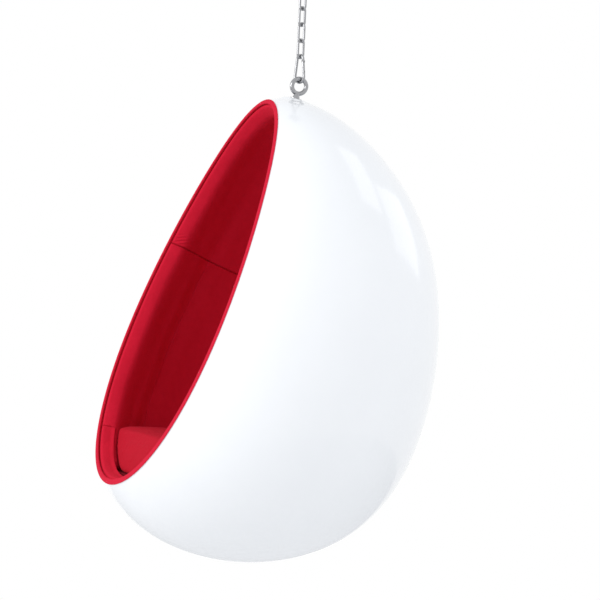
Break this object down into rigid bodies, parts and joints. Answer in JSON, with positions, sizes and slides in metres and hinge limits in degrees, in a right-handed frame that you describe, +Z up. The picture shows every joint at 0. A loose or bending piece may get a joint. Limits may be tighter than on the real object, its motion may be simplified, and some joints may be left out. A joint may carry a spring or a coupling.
{
  "type": "hanging egg chair",
  "caption": "Hanging egg-shaped lounge chair: moulded shell with a padded inside and a loose seat cushion, on a snap hook, a welded chain and a ceiling swivel.",
  "frame": {"origin": "middle of the ceiling plate's upper face", "axes": "+Z up, out of the ceiling plate's face; the mouth of the egg looks along -Y; +X to the sitter's left"},
  "size_m": [0.8416, 0.8219, 1.5227],
  "materials": {
    "ceiling_steel": "brushed stainless steel",
    "hardware": "polished stainless steel",
    "inner_steel": "zinc plated steel",
    "spring_steel": "bright spring steel",
    "shell": "gloss gelcoat on glass-reinforced polyester",
    "piping": "red wool cloth over a flexible edge trim",
    "upholstery": "red wool cloth over moulded foam",
    "cushion": "red wool cloth over a foam block",
    "timber": "bare birch plywood"
  },
  "bodies": {
    "ceiling": {"ceiling_plate": "ceiling_steel", "swivel_bracket": "ceiling_steel", "thrust_washer": "hardware"},
    "swivel": {"swivel_eye": "hardware", "swivel_nut": "hardware"},
    "top_link": {"chain_link_5": "hardware"},
    "chain": {"chain_link_4": "hardware", "chain_link_3": "hardware", "chain_link_2": "hardware", "chain_link_1": "hardware"},
    "hook": {"hook_body": "hardware", "gate_pin": "hardware"},
    "gate": {"hook_gate": "hardware", "gate_spring": "spring_steel"},
    "egg": {"eye_bolt": "hardware", "neck_washer": "hardware", "backing_plate": "inner_steel", "lock_washer": "inner_steel", "eye_nut": "inner_steel", "shell": "shell", "edge_bead": "piping", "tack_strip": "timber", "head_pad": "upholstery", "left_pad": "upholstery", "right_pad": "upholstery", "back_pad": "upholstery", "front_roll": "upholstery", "seat_deck": "timber", "cleat_front_left": "timber", "cleat_front_right": "timber", "cleat_back_left": "timber", "cleat_back_right": "timber", "deck_screws": "inner_steel"},
    "cushion": {"seat_cushion": "cushion"}
  },
  "joints": [
    {"name": "swivel_turn", "type": "hinge", "parent": "ceiling", "child": "swivel", "pos_m": [0, 0, -0.041], "axis": [0, 0, 1], "continuous": true},
    {"name": "top_link_swing", "type": "hinge", "parent": "swivel", "child": "top_link", "pos_m": [0, 0, -0.0778], "axis": [0.8988, 0.4384, 0], "range_deg": [-15, 15]},
    {"name": "chain_swing", "type": "hinge", "parent": "top_link", "child": "chain", "pos_m": [0, 0, -0.117], "axis": [-0.4384, 0.8988, 0], "range_deg": [-15, 15]},
    {"name": "hook_swing", "type": "hinge", "parent": "chain", "child": "hook", "pos_m": [0, 0, -0.2758], "axis": [-0.4384, 0.8988, 0], "range_deg": [-15, 15]},
    {"name": "egg_swing", "type": "hinge", "parent": "hook", "child": "egg", "pos_m": [0, 0, -0.336], "axis": [0.8988, 0.4384, 0], "range_deg": [-20, 20]},
    {"name": "gate_open", "type": "hinge", "parent": "hook", "child": "gate", "pos_m": [0.00946, 0.00461, -0.28277], "axis": [-0.4384, 0.8988, 0], "range_deg": [0, 25], "stiffness_Nm_per_rad": 0.06, "springref_deg": -28.65},
    {"name": "cushion_lift", "type": "slide", "parent": "egg", "child": "cushion", "axis": [0, 0.3633, 0.9317], "range_m": [0, 0.08]}
  ]
}
